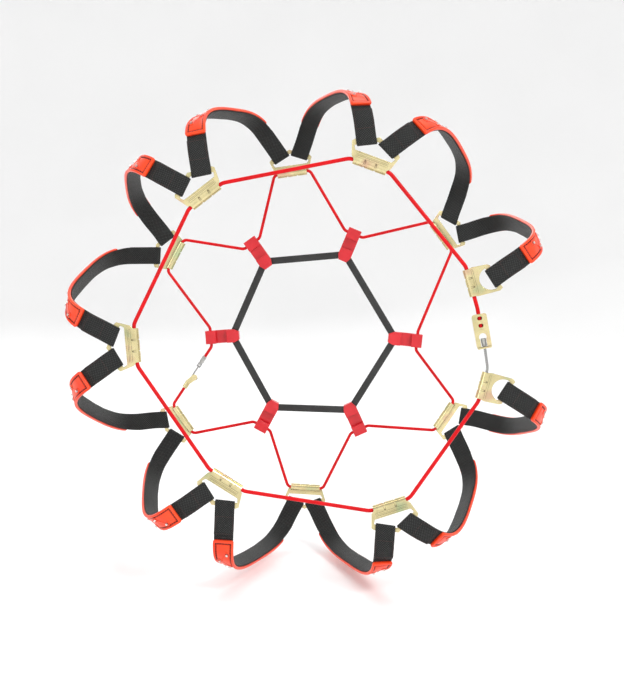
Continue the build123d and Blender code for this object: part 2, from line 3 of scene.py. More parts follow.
import json
import random
from math import asin, atan2, copysign, cos, degrees, hypot, pi, radians, sin, tan

import bmesh
import bpy
from mathutils import Matrix, Vector


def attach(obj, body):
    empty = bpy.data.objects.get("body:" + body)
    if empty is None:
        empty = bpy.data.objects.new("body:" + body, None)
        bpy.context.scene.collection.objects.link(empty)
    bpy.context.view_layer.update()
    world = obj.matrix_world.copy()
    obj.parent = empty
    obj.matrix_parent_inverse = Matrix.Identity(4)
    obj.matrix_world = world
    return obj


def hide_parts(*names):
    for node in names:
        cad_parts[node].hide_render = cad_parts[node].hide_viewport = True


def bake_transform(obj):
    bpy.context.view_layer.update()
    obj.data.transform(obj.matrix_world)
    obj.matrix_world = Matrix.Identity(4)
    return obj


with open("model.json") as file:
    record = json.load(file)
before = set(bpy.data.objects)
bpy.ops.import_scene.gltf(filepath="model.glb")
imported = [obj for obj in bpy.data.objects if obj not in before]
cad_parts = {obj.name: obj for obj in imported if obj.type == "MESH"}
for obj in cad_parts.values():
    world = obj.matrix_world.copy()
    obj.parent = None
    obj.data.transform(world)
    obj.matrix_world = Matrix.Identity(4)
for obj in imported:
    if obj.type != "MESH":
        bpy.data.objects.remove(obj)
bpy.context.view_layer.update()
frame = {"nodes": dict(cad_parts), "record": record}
nodes = frame["nodes"]
MM = 0.001
FLOOR = -0.334
rng = random.Random(7)

# ------------------------------------------------------------------ camera, floor, light

camera_data = bpy.data.cameras.new("camera")
camera = bpy.data.objects.new("camera", camera_data)
bpy.context.collection.objects.link(camera)
camera_data.sensor_width = 36.0
camera_data.lens = 48.37
camera_data.clip_end = 20.0
camera.location = (0.045, -1.236, 0.097)
camera.rotation_euler = (radians(90 - 4.63), 0, radians(2.03))
bpy.context.scene.camera = camera


def area_light(name, spot, aim, size, power, tint=(1, 1, 1)):
    """Soft rectangular light that looks at a point."""
    data = bpy.data.lights.new(name, "AREA")
    data.shape = "RECTANGLE"
    data.size, data.size_y = size
    data.energy = power
    data.color = tint
    lamp = bpy.data.objects.new(name, data)
    lamp.location = spot
    lamp.rotation_euler = (Vector(aim) - Vector(spot)).to_track_quat("-Z", "Y").to_euler()
    bpy.context.collection.objects.link(lamp)


area_light("key", (1.3, -1.7, 1.7), (0, 0, 0), (0.9, 0.7), 34)
area_light("fill", (-1.9, -1.3, 0.5), (0, 0, 0), (0.5, 1.8), 9)
area_light("top", (0.0, 0.3, 2.1), (0, 0, 0), (2.0, 1.4), 20)
area_light("back", (-0.5, 2.0, 1.0), (0, 0, 0), (1.8, 1.2), 12)

# A pale studio that is a little dimmer towards the horizon, so that metal shows contrast.
SKY_TONES = ((0.30, 0.62), (0.47, 0.50), (0.56, 0.60), (0.70, 1.00), (0.95, 0.80))
SKY_STRENGTH = 0.62

world = bpy.data.worlds.new("studio")
bpy.context.scene.world = world
world.use_nodes = True
sky = world.node_tree
heading = sky.nodes.new("ShaderNodeTexCoord")
axes = sky.nodes.new("ShaderNodeSeparateXYZ")
tones = sky.nodes.new("ShaderNodeValToRGB")
stretch = sky.nodes.new("ShaderNodeMapRange")
stretch.inputs["From Min"].default_value = -1.0
sky.links.new(heading.outputs["Generated"], axes.inputs[0])
sky.links.new(axes.outputs["Z"], stretch.inputs["Value"])
sky.links.new(stretch.outputs[0], tones.inputs["Fac"])
sky.links.new(tones.outputs["Color"], sky.nodes["Background"].inputs["Color"])
while len(tones.color_ramp.elements) < len(SKY_TONES):
    tones.color_ramp.elements.new(0.5)
for element, (place, value) in zip(tones.color_ramp.elements, SKY_TONES):
    element.position = place
    element.color = (value, value, value, 1)
sky.nodes["Background"].inputs["Strength"].default_value = SKY_STRENGTH
bpy.context.scene.view_settings.view_transform = "Standard"

# ------------------------------------------------------------------ materials


class Shade:
    """Small helper that wires one principled material."""

    def __init__(self, name):
        self.material = bpy.data.materials.new(name)
        self.material.use_nodes = True
        self.tree = self.material.node_tree
        self.bsdf = self.tree.nodes["Principled BSDF"]

    def node(self, kind, values=(), **settings):
        made = self.tree.nodes.new(kind)
        for key, value in settings.items():
            setattr(made, key, value)
        for key, value in dict(values).items():
            made.inputs[key].default_value = value
        return made

    def link(self, source, target):
        self.tree.links.new(source, target)

    def coords(self, kind="Object"):
        return self.node("ShaderNodeTexCoord").outputs[kind]

    def noise(self, source, scale, detail=4.0, rough=0.55):
        made = self.node("ShaderNodeTexNoise",
                         {"Scale": scale, "Detail": detail, "Roughness": rough})
        self.link(source, made.inputs["Vector"])
        return made.outputs["Fac"]

    def ramp(self, source, *stops):
        made = self.node("ShaderNodeValToRGB")
        ramp = made.color_ramp
        while len(ramp.elements) < len(stops):
            ramp.elements.new(0.5)
        for element, (place, colour) in zip(ramp.elements, stops):
            element.position = place
            element.color = colour if len(colour) == 4 else (*colour, 1)
        self.link(source, made.inputs["Fac"])
        return made.outputs["Color"]

    def mix(self, share, first, second, kind="MIX"):
        made = self.node("ShaderNodeMix", data_type="RGBA", blend_type=kind)
        # Sockets 0, 6 and 7 are the factor and the two colours.
        for value, place in ((share, 0), (first, 6), (second, 7)):
            socket = made.inputs[place]
            if isinstance(value, (int, float)):
                socket.default_value = value
            elif isinstance(value, tuple):
                socket.default_value = value if len(value) == 4 else (*value, 1)
            else:
                self.link(value, socket)
        return made.outputs[2]

    def math(self, kind, first, second=0.0, third=0.0):
        made = self.node("ShaderNodeMath", operation=kind)
        for value, socket in zip((first, second, third), made.inputs):
            if isinstance(value, (int, float)):
                socket.default_value = value
            else:
                self.link(value, socket)
        return made.outputs[0]

    def bump(self, height, distance, strength=1.0):
        made = self.node("ShaderNodeBump", {"Distance": distance, "Strength": strength})
        self.link(height, made.inputs["Height"])
        self.link(made.outputs["Normal"], self.bsdf.inputs["Normal"])

    def painted_crease_shade(self, colour, reach, dark):
        """Darken the colour in the corners and folds with painted shade, read from an ambient
        occlusion node.
        """
        made = self.node("ShaderNodeAmbientOcclusion", {"Distance": reach}, samples=8)
        shade = self.ramp(made.outputs["AO"], (0.35, dark), (0.92, (1, 1, 1)))
        return self.mix(1.0, colour, shade, "MULTIPLY")

    def put(self, **values):
        for key, value in values.items():
            socket = self.bsdf.inputs[key.replace("_", " ")]
            if isinstance(value, (int, float)):
                socket.default_value = value
            elif isinstance(value, tuple):
                socket.default_value = value if len(value) == 4 else (*value, 1)
            else:
                self.link(value, socket)
        return self.material


YARN_WIDTH, YARN_PITCH = 1.55, 2.9


def red_pvc():
    s = Shade("red_pvc")
    place = s.coords()
    tone = s.noise(place, 60, 3)
    dust = s.noise(place, 350, 4, 0.6)
    colour = s.ramp(tone, (0.3, (0.56, 0.001, 0.004)), (0.7, (0.70, 0.003, 0.008)))
    marks = s.ramp(dust, (0.62, (0, 0, 0)), (0.78, (1, 1, 1)))
    colour = s.mix(s.math("MULTIPLY", marks, 0.12), colour, (0.45, 0.12, 0.10))
    s.bump(s.noise(place, 900, 3), 0.00006, 0.5)
    rough = s.math("MULTIPLY_ADD", dust, 0.20, 0.26)
    return s.put(Base_Color=colour, Roughness=rough, Specular_IOR_Level=0.20)


def red_hook():
    s = Shade("red_hook")
    place = s.coords()
    tone = s.noise(place, 45, 3)
    scuff = s.noise(place, 420, 8, 0.72)
    colour = s.ramp(tone, (0.3, (0.58, 0.006, 0.014)), (0.7, (0.72, 0.014, 0.024)))
    marks = s.ramp(scuff, (0.62, (0, 0, 0)), (0.74, (1, 1, 1)))
    colour = s.mix(s.math("MULTIPLY", marks, 0.18), colour, (0.85, 0.20, 0.20))
    s.bump(s.noise(place, 1500, 2), 0.00006, 0.6)
    rough = s.math("MULTIPLY_ADD", scuff, 0.25, 0.20)
    return s.put(Base_Color=colour, Roughness=rough, Coat_Weight=0.15)


def yellow_zinc():
    s = Shade("yellow_zinc")
    place = s.coords()
    broad = s.noise(place, 38, 2, 0.45)
    fine = s.noise(place, 260, 4, 0.55)
    colour = s.ramp(broad, (0.28, (0.40, 0.48, 0.24)), (0.42, (0.60, 0.50, 0.23)),
                    (0.58, (0.74, 0.63, 0.31)), (0.72, (0.62, 0.36, 0.22)))
    colour = s.mix(s.math("MULTIPLY", fine, 0.34), colour, (0.90, 0.86, 0.64))
    # Painted shade in the corners and folds of the plates.
    colour = s.painted_crease_shade(colour, 0.006, (0.07, 0.04, 0.02))
    grain = s.node("ShaderNodeMapping", {"Scale": (1, 6, 1)})
    s.link(place, grain.inputs["Vector"])
    s.bump(s.noise(grain.outputs["Vector"], 500, 3, 0.6), 0.00005, 0.4)
    rough = s.math("MULTIPLY_ADD", fine, 0.20, 0.14)
    return s.put(Base_Color=colour, Roughness=rough, Metallic=0.92)


def steel(name, low, high, rough_base, scale):
    s = Shade(name)
    place = s.coords()
    tone = s.noise(place, scale, 5, 0.6)
    colour = s.ramp(tone, (0.3, low), (0.7, high))
    s.bump(s.noise(place, 2200, 3), 0.00005, 0.6)
    rough = s.math("MULTIPLY_ADD", tone, 0.25, rough_base)
    return s.put(Base_Color=colour, Roughness=rough, Metallic=0.95)


def wire_rope():
    s = Shade("wire_rope")
    place = s.coords()
    wave = s.node("ShaderNodeTexWave", {"Scale": 330.0, "Distortion": 0.4}, wave_type="BANDS",
                  bands_direction="DIAGONAL")
    s.link(place, wave.inputs["Vector"])
    colour = s.ramp(wave.outputs["Fac"], (0.1, (0.10, 0.10, 0.10)), (0.6, (0.50, 0.50, 0.49)))
    s.bump(wave.outputs["Fac"], 0.00015, 0.7)
    return s.put(Base_Color=colour, Roughness=0.34, Metallic=0.95)


def webbing():
    """Plain weave of round yarns, staggered in neighbouring columns; its UVs are in mm."""
    s = Shade("webbing")
    place = s.coords("UV")
    axes = s.node("ShaderNodeSeparateXYZ")
    s.link(place, axes.inputs[0])
    column = s.math("DIVIDE", axes.outputs["X"], YARN_WIDTH)
    row = s.math("DIVIDE", axes.outputs["Y"], YARN_PITCH)
    stagger = s.math("MULTIPLY", s.math("MODULO", s.math("FLOOR", column), 2.0), 0.5)
    across = s.math("SINE", s.math("MULTIPLY", s.math("FRACT", column), pi))
    along = s.math("SINE", s.math("MULTIPLY", s.math("FRACT", s.math("ADD", row, stagger)), pi))
    yarn = s.math("MULTIPLY", s.math("POWER", across, 0.6), s.math("POWER", along, 0.7))
    fibres = s.node("ShaderNodeMapping", {"Scale": (4.5, 0.9, 4.5)})
    s.link(place, fibres.inputs["Vector"])
    fibre = s.noise(fibres.outputs["Vector"], 1.0, 4, 0.65)
    # The yarn height sets the colour: painted shade in the gaps between yarns and a painted
    # highlight on their crowns.
    colour = s.ramp(yarn, (0.20, (0.0012, 0.0012, 0.0012)), (0.65, (0.018, 0.019, 0.018)),
                    (1.0, (0.095, 0.100, 0.097)))
    # Painted highlight specks along the fibres: the stretched fibre noise darkens the colour except
    # where it is high.
    fibre_highlight = s.ramp(fibre, (0.38, (0.12, 0.12, 0.12)), (0.62, (1, 1, 1)))
    colour = s.mix(1.0, colour, fibre_highlight, "MULTIPLY")
    s.bump(s.math("MULTIPLY_ADD", fibre, 0.25, yarn), 0.0005, 0.9)
    return s.put(Base_Color=colour, Roughness=0.55, Specular_IOR_Level=0.28, Sheen_Weight=0.03,
                 Sheen_Roughness=0.5)


def tread():
    s = Shade("tread")
    place = s.coords()
    tone = s.noise(place, 30, 3)
    fine = s.noise(place, 900, 5, 0.7)
    colour = s.ramp(tone, (0.3, (0.84, 0.034, 0.003)), (0.7, (0.93, 0.064, 0.006)))
    colour = s.mix(s.math("MULTIPLY", fine, 0.08), colour, (0.95, 0.20, 0.08))
    # Painted shade in the corners and grooves of the tread.
    colour = s.painted_crease_shade(colour, 0.003, (0.35, 0.10, 0.08))
    s.bump(fine, 0.00012, 0.5)
    rough = s.math("MULTIPLY_ADD", fine, 0.20, 0.24)
    return s.put(Base_Color=colour, Roughness=rough, Specular_IOR_Level=0.42)


def stitching():
    s = Shade("dark_thread")
    place = s.coords()
    twist = s.noise(place, 2500, 3, 0.7)
    colour = s.ramp(twist, (0.35, (0.020, 0.010, 0.010)), (0.7, (0.10, 0.035, 0.030)))
    s.bump(twist, 0.0001, 0.7)
    return s.put(Base_Color=colour, Roughness=0.7)


def rubber():
    s = Shade("rubber")
    place = s.coords()
    fine = s.noise(place, 800, 5, 0.7)
    bloom = s.noise(place, 40, 3)
    colour = s.ramp(bloom, (0.3, (0.012, 0.012, 0.012)), (0.75, (0.030, 0.030, 0.029)))
    s.bump(fine, 0.0001, 0.5)
    return s.put(Base_Color=colour, Roughness=s.math("MULTIPLY_ADD", fine, 0.2, 0.42))


def studio_paint():
    s = Shade("studio_paint")
    place = s.coords()
    tone = s.noise(place, 2.0, 2)
    colour = s.ramp(tone, (0.3, (0.90, 0.90, 0.90)), (0.7, (0.93, 0.93, 0.93)))
    return s.put(Base_Color=colour, Roughness=0.9, Emission_Color=(1.0, 1.0, 1.0),
                 Emission_Strength=0.08)


PVC = red_pvc()
HOOK = red_hook()
ZINC = yellow_zinc()
ROPE = wire_rope()
FERRULE = steel("ferrule_steel", (0.30, 0.30, 0.29), (0.56, 0.56, 0.53), 0.24, 300)
STUD = steel("stud_steel", (0.62, 0.62, 0.60), (0.85, 0.85, 0.82), 0.16, 500)
WEBBING = webbing()
TREAD = tread()
THREAD = stitching()
RUBBER = rubber()

# ------------------------------------------------------------------ floor

# A round bowl: a flat floor that curves up into a wall, the same from every side.
FLAT, CURVE, WALL, SECTORS = 1.8, 2.0, 3.0, 96
outline = [(0.6, 0.0), (1.2, 0.0), (FLAT, 0.0)]
for turn in range(10, 91, 10):
    outline.append((FLAT + CURVE * sin(radians(turn)), CURVE - CURVE * cos(radians(turn))))
outline.append((FLAT + CURVE, WALL))
sweep = bmesh.new()
hub = sweep.verts.new((0, 0, FLOOR))
rounds = []
for reach, height in outline:
    circle = []
    for k in range(SECTORS):
        turn = 2 * pi * k / SECTORS
        circle.append(sweep.verts.new((reach * sin(turn), reach * cos(turn), height + FLOOR)))
    rounds.append(circle)
for k in range(SECTORS):
    sweep.faces.new((hub, rounds[0][k], rounds[0][k - 1])).smooth = True
    for inner, outer in zip(rounds, rounds[1:]):
        sweep.faces.new((inner[k - 1], inner[k], outer[k], outer[k - 1])).smooth = True
floor_mesh = bpy.data.meshes.new("studio_floor")
sweep.to_mesh(floor_mesh)
sweep.free()
floor = bpy.data.objects.new("studio_floor", floor_mesh)
bpy.context.collection.objects.link(floor)
floor.data.materials.append(studio_paint())

slot_paint = {"red_pvc": PVC, "wire_rope": ROPE, "ferrule_steel": FERRULE, "yellow_zinc": ZINC,
              "black_webbing": WEBBING, "red_tread": TREAD, "stud_steel": STUD,
              "red_plastic": HOOK, "black_rubber": RUBBER}
for entry in frame["record"]["subparts"]:
    thing = nodes[entry["node"]]
    paint = slot_paint[entry["material_slot"]]
    if not thing.material_slots:
        thing.data.materials.append(paint)
    for place in thing.material_slots:
        place.material = paint

# ------------------------------------------------------------------ the net's layout, in mm

CROWN, BULGE, HALF, POWER = 318.2, 258.0, 110.5, 3.3
CABLE_Y, LIFT, TILT = 102.5, 3.1, 10.0
BARE, PAD_LENGTH, PAD_WIDTH = 46.0, 226.0, 26.5
INNER = [(-63.5, 232.0, -8.0), (-120.3, 206.0, -1.9), (-178.6, 218.6, 2.8), (125.2, 222.0, 2.0),
         (70.7, 231.2, -0.8)]
UPPER, LOWER = (20.1, 214.5, -3.9), (-14.0, 225.5, -1.0)
OUTER = [(36.4, 232.0, 0), (97.8, 232.0, 0), (151.7, 232.0, 0), (214.5, 238.0, 0),
         (267.0, 238.0, 0), (326.7, 232.0, 0)]
HOOKS = [(-5.9, 153.3), (67.4, 152.6), (125.6, 156.2), (184.3, 153.4), (241.8, 164.0),
         (294.6, 163.6)]


def radial(angle):
    return Vector((cos(radians(angle)), 0, sin(radians(angle))))


def around(angle):
    return Vector((-sin(radians(angle)), 0, cos(radians(angle))))


def bar(station, side, middle, slope):
    """Middle of a webbing bar, the direction along it and the sheet's normal."""
    angle, radius, turn = station
    x_dir = around(angle + turn) * side
    z_dir = Matrix.Rotation(radians(TILT), 3, x_dir) @ Vector((0, side, 0))
    y_dir = z_dir.cross(x_dir)
    base = radial(angle) * radius + Vector((0, side * (CABLE_Y + LIFT), 0))
    origin = base + x_dir * middle[0] + y_dir * middle[1]
    return origin, x_dir * cos(radians(slope)) + y_dir * sin(radians(slope)), z_dir


def double_bar(station, side, growing):
    hand = side if growing else -side
    return bar(station, side, (hand * 14.2, 25.6), -hand * 25.6)


STRAPS = [(double_bar(INNER[4], -1, True), 1, False), (double_bar(INNER[4], -1, False), 0, True),
          (bar(UPPER, -1, (0.6, 28.4), 16.7), 0, False),
          (bar(LOWER, -1, (-0.6, 28.4), -16.7), 5, True),
          (double_bar(INNER[0], -1, True), 5, False), (double_bar(INNER[0], -1, False), 4, True),
          (double_bar(INNER[1], -1, True), 4, False), (double_bar(INNER[1], -1, False), 3, True),
          (double_bar(INNER[2], -1, True), 3, False), (double_bar(INNER[2], -1, False), 2, True),
          (double_bar(INNER[3], -1, True), 2, False), (double_bar(INNER[3], -1, False), 1, True)]


def strap_frames(inner_bar, outer_bar):
    """Distance, point, way ahead, side vector and normal along the shortest way round."""
    ends = []
    for origin, _, _ in (inner_bar, outer_bar):
        ends.append((hypot(origin.x, origin.z), origin.y, degrees(atan2(origin.z, origin.x))))
    rise = [ends[0][:2]]
    for step in range(2, 71):
        swing = -90 + 180 * step / 72
        share_y = abs(sin(radians(swing))) ** (2 / POWER)
        share_r = abs(cos(radians(swing))) ** (2 / POWER)
        rise.append((BULGE + (CROWN - BULGE) * share_r, copysign(HALF * share_y, swing)))
    rise.append(ends[1][:2])
    turn = (ends[1][2] - ends[0][2] + 180) % 360 - 180
    low, high = 0.0, 228.0
    for _ in range(50):
        pull = (low + high) / 2
        angles = [0.0]
        for (r0, y0), (r1, y1) in zip(rise, rise[1:]):
            mean = max((r0 + r1) / 2, pull + 0.5)
            angles.append(angles[-1] + hypot(r1 - r0, y1 - y0) * tan(asin(pull / mean)) / mean)
        low, high = (pull, high) if degrees(angles[-1]) < abs(turn) else (low, pull)
    points = []
    for (radius, y), angle in zip(rise, angles):
        direction = radial(ends[0][2] + copysign(degrees(angle), turn))
        points.append(direction * radius + Vector((0, y, 0)))
    lengths = [0.0]
    for a, b in zip(points, points[1:]):
        lengths.append(lengths[-1] + (b - a).length)
    total = lengths[-1]
    frames = []
    for index, point in enumerate(points):
        ahead = (points[min(index + 1, len(points) - 1)] - points[max(index - 1, 0)]).normalized()
        radius = hypot(point.x, point.z)
        share_r = max((radius - BULGE) / (CROWN - BULGE), 0.0)
        share_y = min(abs(point.y) / HALF, 1.0)
        normal = radial(degrees(atan2(point.z, point.x))) * share_r ** (POWER - 1) / (CROWN - BULGE)
        normal = normal + Vector((0, copysign(share_y ** (POWER - 1) / HALF, point.y), 0))
        normal = (normal - ahead * normal.dot(ahead)).normalized()
        away = ((inner_bar, lengths[index]), (outer_bar, total - lengths[index]))
        for (_, _, face), distance in away:
            share = max(1 - distance / 26.0, 0.0)
            normal = normal * (1 - share) + face * share
        across = ahead.cross(normal).normalized()
        for (_, along, _), distance in away:
            share = max(1 - distance / 26.0, 0.0)
            along = along if along.dot(across) > 0 else -along
            across = (across * (1 - share) + along * share).normalized()
        frames.append((lengths[index], point, ahead, across))
    return frames


def locate(frames, distance):
    """Point, way ahead, side vector and outward normal at any distance, past the ends too."""
    index = 0
    while index < len(frames) - 2 and frames[index + 1][0] < distance:
        index += 1
    low, high = frames[index], frames[index + 1]
    share = (distance - low[0]) / (high[0] - low[0])
    mix = min(max(share, 0.0), 1.0)
    point = low[1].lerp(high[1], share)
    ahead = low[2].lerp(high[2], mix)
    across = low[3].lerp(high[3], mix).normalized()
    ahead = (ahead - across * ahead.dot(across)).normalized()
    return point, ahead, across, across.cross(ahead)


def spot(frames, along, side, height):
    point, _, across, normal = locate(frames, along)
    return (point + across * side + normal * height) * MM


def finish_piece(name, mesh, paint, body="net"):
    """Wrap a bmesh as an object with its material and body."""
    data = bpy.data.meshes.new(name)
    bmesh.ops.recalc_face_normals(mesh, faces=mesh.faces)
    mesh.to_mesh(data)
    mesh.free()
    thing = bpy.data.objects.new(name, data)
    bpy.context.collection.objects.link(thing)
    data.materials.append(paint)
    if body:
        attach(thing, body)
    return thing


def skin(mesh, rows, uv=None, uv_rows=None):
    """Bridge rows of points into a tube of quads with an end cap at both ends."""
    made = [[mesh.verts.new(p) for p in row] for row in rows]
    count = len(made[0])
    for r, (low, high) in enumerate(zip(made, made[1:])):
        for k in range(count):
            n = (k + 1) % count
            face = mesh.faces.new((low[k], low[n], high[n], high[k]))
            face.smooth = True
            if uv:
                here, ahead = uv_rows[r], uv_rows[r + 1]
                for loop, value in zip(face.loops, (here[k], here[k + 1], ahead[k + 1], ahead[k])):
                    loop[uv].uv = value
    for end in (made[0][::-1], made[-1]):
        for edge in mesh.faces.new(end).edges:
            edge.smooth = False


# ------------------------------------------------------------------ webbing straps

TAPE = 1.7           # thickness of the webbing
TAPE_HALF = 12.5     # half its width
BAR_HALF = 1.2       # half the thickness of the bar inside the loop
LAP_END = 39.5       # cut end of the tape, measured from the bar


def tape_path(total):
    """Middle of the tape as (distance, height), from one cut end round both bars."""
    half = TAPE / 2
    outer = BAR_HALF + half

    def turn_round():
        lay = [(LAP_END, TAPE + 0.05), (LAP_END - 3, TAPE + 0.1), (24, TAPE + 0.1),
               (14, TAPE + 0.15), (9.5, 1.72), (5.5, outer + 0.02), (2.0, outer), (-0.6, outer)]
        for step in range(0, 9):
            turn = radians(90 + 180 * step / 8)
            lay.append((-2.2 + outer * cos(turn), outer * sin(turn)))
        lay += [(-0.6, -outer), (2.0, -outer), (5.5, -outer + 0.05), (9.5, -0.9), (14, -0.2),
                (20, 0.0)]
        return lay

    start = turn_round()
    finish = [(total - s, h) for s, h in reversed(start)]
    middle = []
    place = 24.0
    while place < total - 24.0:
        middle.append((place, 0.0))
        place += 4.0
    return start + middle + finish


def strap(number, frames):
    """One webbing strap with its laps, swept along its path round the tire."""
    total = frames[-1][0]
    lay = tape_path(total)
    half = TAPE_HALF
    edge = [(-half, 0), (-half + 0.25, 0.55), (-half + 0.9, 0.85), (-half / 3, 0.85),
            (half / 3, 0.85), (half - 0.9, 0.85), (half - 0.25, 0.55), (half, 0),
            (half - 0.25, -0.55), (half - 0.9, -0.85), (half / 3, -0.85), (-half / 3, -0.85),
            (-half + 0.9, -0.85), (-half + 0.25, -0.55)]
    mesh = bmesh.new()
    uv = mesh.loops.layers.uv.new("weave")
    rows, uv_rows, run = [], [], 0.0
    phase = rng.uniform(0, 6)
    for k, (s, h) in enumerate(lay):
        before = lay[max(k - 1, 0)]
        after = lay[min(k + 1, len(lay) - 1)]
        ds, dh = after[0] - before[0], after[1] - before[1]
        size = hypot(ds, dh)
        way = (ds / size, dh / size)
        if k:
            run += hypot(s - before[0], h - before[1])
        wobble = 0.25 * sin(s / 17 + phase) + 0.12 * sin(s / 6.1 + 2 * phase)
        row = []
        for side, lift in edge:
            row.append(spot(frames, s - way[1] * lift, side + wobble, h + way[0] * lift))
        rows.append(row)
        girth = [0.0]
        for a, b in zip(edge, edge[1:] + edge[:1]):
            girth.append(girth[-1] + hypot(b[0] - a[0], b[1] - a[1]))
        uv_rows.append([(g, run) for g in girth])
    skin(mesh, rows, uv, uv_rows)
    thing = finish_piece(f"strap_{number:02d}", mesh, WEBBING)
    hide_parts(f"webbing_strap_{number:02d}")


def thread(mesh, frames, start, end, height, radius):
    """One stitch: a short thread between two (distance, side) points, sunk at both ends."""
    rows = []
    for step in range(5):
        share = step / 4
        along = start[0] * (1 - share) + end[0] * share
        side = start[1] * (1 - share) + end[1] * share
        rise = height + radius * 1.2 * (sin(pi * share) - 0.55)
        point, ahead, across, normal = locate(frames, along)
        way = (ahead * (end[0] - start[0]) + across * (end[1] - start[1])).normalized()
        flank = way.cross(normal)
        middle = point + across * side + normal * rise
        girth = radius * (0.75 + 0.25 * sin(pi * share))
        rows.append([(middle + flank * girth * cos(a) + normal * girth * sin(a)) * MM
                     for a in (0, pi / 3, 2 * pi / 3, pi, 4 * pi / 3, 5 * pi / 3)])
    skin(mesh, rows)


all_frames = []
for number, (inner_bar, outer_index, growing) in enumerate(STRAPS, 1):
    frames = strap_frames(inner_bar, double_bar(OUTER[outer_index], 1, growing))
    all_frames.append(frames)
    strap(number, frames)

for number, frames in enumerate(all_frames, 1):
    total = frames[-1][0]
    mesh = bmesh.new()
    for near in (True, False):
        def at(s):
            return s if near else total - s
        top = 2 * TAPE - 0.75
        for row in (LAP_END - 1.6, 15.5):
            for k in range(9):
                side = -11.0 + 22.0 * k / 9
                thread(mesh, frames, (at(row), side), (at(row + 0.2), side + 2.0), top, 0.28)
        for side in (-10.8, 10.8):
            for k in range(7):
                s = 16.5 + 3.1 * k
                thread(mesh, frames, (at(s), side), (at(s + 2.5), side), top, 0.28)
    finish_piece(f"strap_stitches_{number:02d}", mesh, THREAD)

# ------------------------------------------------------------------ treads

PAD_BOTTOM, FIELD, CHANNEL, RIM, BOSS = 1.10, 3.9, 3.1, 5.0, 4.9   # heights over the webbing
CORNER, BORDER, GROOVE_END = 2.6, 3.6, 5.9   # corner radius, and where rim and groove end
BOSSES, BOSS_PITCH, BOSS_SIDE = 15, 13.5, 5.5
BOSS_PROFILE = [(4.1, FIELD - 0.3), (3.9, FIELD + 0.35), (3.5, BOSS - 0.15), (3.0, BOSS),
                (2.1, BOSS), (1.75, BOSS - 0.35)]
LATTICE_PROFILE = [(-1.1, FIELD - 0.2), (-0.8, FIELD + 0.45), (0.8, FIELD + 0.45),
                   (1.1, FIELD - 0.2)]
STITCH_HEIGHT, STITCH_RADIUS, STITCH_LENGTH = CHANNEL + 0.15, 0.42, 2.9
PROFILE = [(-13.25, PAD_BOTTOM + 0.5), (-13.25, RIM - 0.9), (-12.95, RIM - 0.25), (-12.3, RIM),
           (-11.2, RIM), (-10.7, RIM - 0.2), (-10.35, CHANNEL + 0.3), (-10.0, CHANNEL),
           (-8.9, CHANNEL), (-8.55, CHANNEL + 0.2), (-8.2, FIELD - 0.1), (-7.7, FIELD),
           (-2.6, FIELD + 0.1), (2.6, FIELD + 0.1),
           (7.7, FIELD), (8.2, FIELD - 0.1), (8.55, CHANNEL + 0.2), (8.9, CHANNEL),
           (10.0, CHANNEL), (10.35, CHANNEL + 0.3), (10.7, RIM - 0.2), (11.2, RIM),
           (12.3, RIM), (12.95, RIM - 0.25), (13.25, RIM - 0.9), (13.25, PAD_BOTTOM + 0.5),
           (12.8, PAD_BOTTOM), (-12.8, PAD_BOTTOM)]


